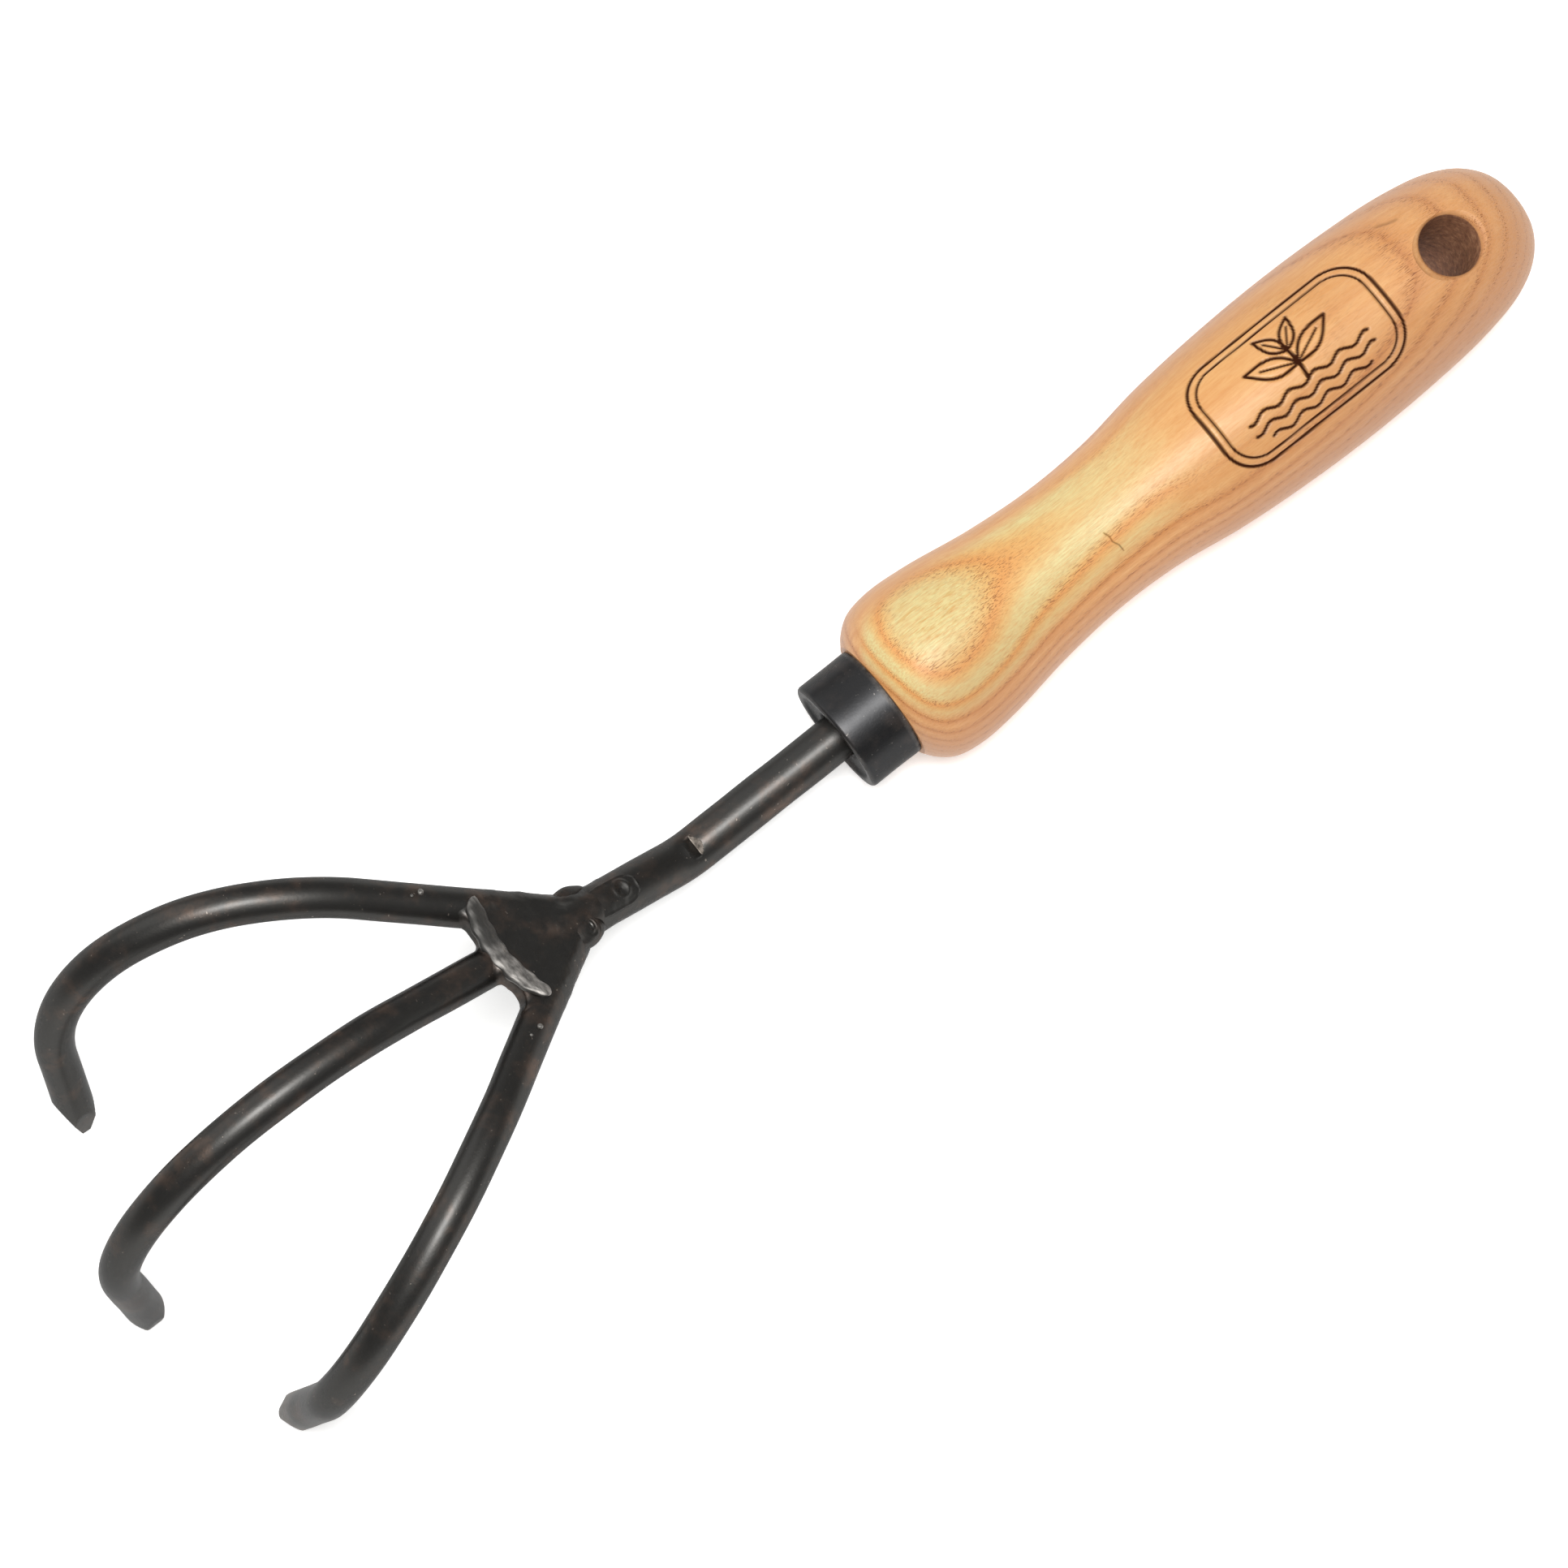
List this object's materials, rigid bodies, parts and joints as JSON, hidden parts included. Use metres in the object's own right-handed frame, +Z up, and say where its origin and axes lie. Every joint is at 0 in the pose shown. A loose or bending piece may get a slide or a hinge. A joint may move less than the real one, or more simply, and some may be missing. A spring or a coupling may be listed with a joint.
{
  "type": "hand cultivator",
  "caption": "Short garden claw with splayed hooked tines welded to a bent shank, in a turned ash handle with a steel ferrule and a hang hole.",
  "frame": {"origin": "under the middle of the tool's bounding box, on the surface that its tine points and the handle's belly lie on", "axes": "+X along the handle towards the butt, +Y across the tines, +Z up, off the back of the claw; the hooks point to -Z"},
  "size_m": [0.3034, 0.085, 0.0641],
  "materials": {
    "ash": "lacquered ash, satin",
    "ferrule_steel": "blue-black, satin",
    "black_steel": "black lacquer over forged steel, semi-gloss, worn brown in places",
    "weld_steel": "rough wire-brushed weld bead"
  },
  "bodies": {
    "root": {"handle": "ash", "ferrule": "ferrule_steel", "shank": "black_steel", "centre_tine": "black_steel", "left_tine": "black_steel", "right_tine": "black_steel", "gusset_plate": "black_steel", "front_weld": "weld_steel", "shank_weld": "black_steel", "left_toe_weld": "black_steel", "right_toe_weld": "black_steel"}
  },
  "joints": []
}
